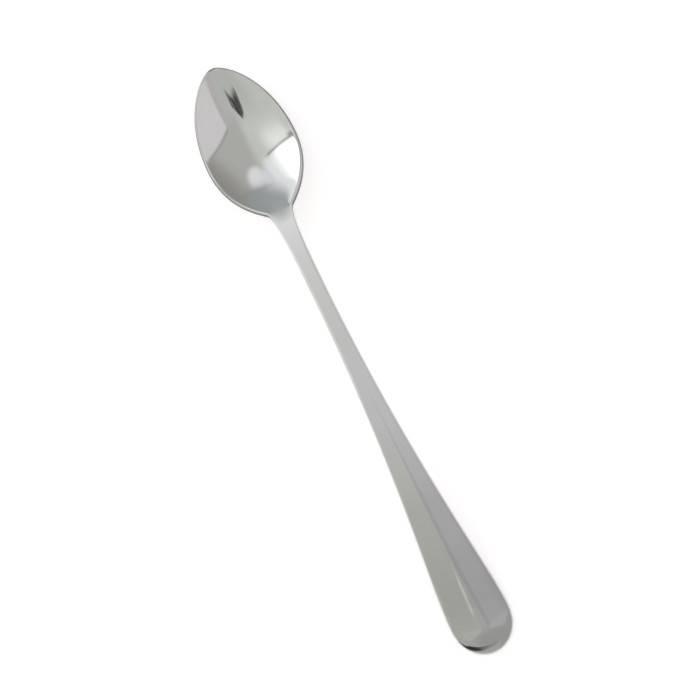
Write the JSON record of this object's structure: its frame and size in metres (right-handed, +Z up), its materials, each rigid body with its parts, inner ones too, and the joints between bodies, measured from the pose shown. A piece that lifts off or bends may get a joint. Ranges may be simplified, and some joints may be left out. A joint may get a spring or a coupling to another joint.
{
  "type": "iced tea spoon",
  "caption": "Long-stemmed stainless steel spoon with a small pointed-oval bowl, a slim arched stem and a broad ribbed handle, for stirring tall drinks.",
  "frame": {"origin": "middle of the spoon's length and width, on the surface that it lies on", "axes": "+Y along the spoon towards the bowl's tip, +Z up out of the bowl, +X to the right of the bowl seen from above"},
  "size_m": [0.0286, 0.19, 0.0154],
  "materials": {
    "stainless_steel": "polished"
  },
  "bodies": {
    "root": {"spoon": "stainless_steel"}
  },
  "joints": []
}
